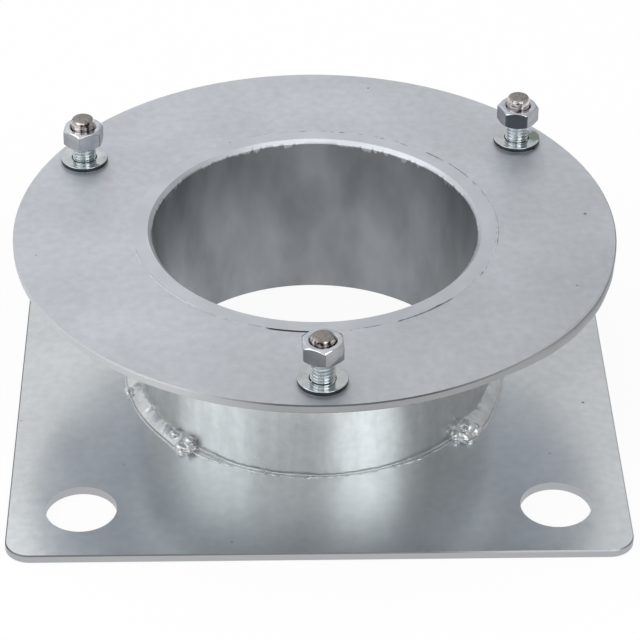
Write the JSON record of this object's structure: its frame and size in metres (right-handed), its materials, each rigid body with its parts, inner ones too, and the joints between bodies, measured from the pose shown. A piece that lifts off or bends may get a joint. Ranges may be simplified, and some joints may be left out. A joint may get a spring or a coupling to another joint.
{
  "type": "tube clamp base flange",
  "caption": "Square steel base plate with anchor holes, a short welded riser tube and a round top flange with upright studs, washers and nuts.",
  "frame": {"origin": "on the tube's axis at the underside of the base plate", "axes": "+Z along the tube's axis, upwards; +X and +Y along the base plate's sides, with the front stud towards -Y"},
  "size_m": [0.2, 0.2, 0.079],
  "materials": {
    "galvanised_steel": "hot-dip galvanised, dull",
    "galvanised_weld": "hot-dip galvanised weld bead",
    "stud_steel": "threaded, cut end bare",
    "zinc_plate": "bright zinc plated"
  },
  "bodies": {
    "root": {"base_plate": "galvanised_steel", "riser_tube": "galvanised_steel", "top_flange": "galvanised_steel", "base_weld_left": "galvanised_weld", "base_weld_right": "galvanised_weld", "flange_weld_left": "galvanised_weld", "flange_weld_right": "galvanised_weld", "stud_front": "stud_steel", "stud_right": "stud_steel", "stud_left": "stud_steel", "stud_weld_front": "galvanised_weld", "stud_weld_right": "galvanised_weld", "stud_weld_left": "galvanised_weld", "washer_front": "zinc_plate", "washer_right": "zinc_plate", "washer_left": "zinc_plate", "nut_front": "zinc_plate", "nut_right": "zinc_plate", "nut_left": "zinc_plate"}
  },
  "joints": []
}
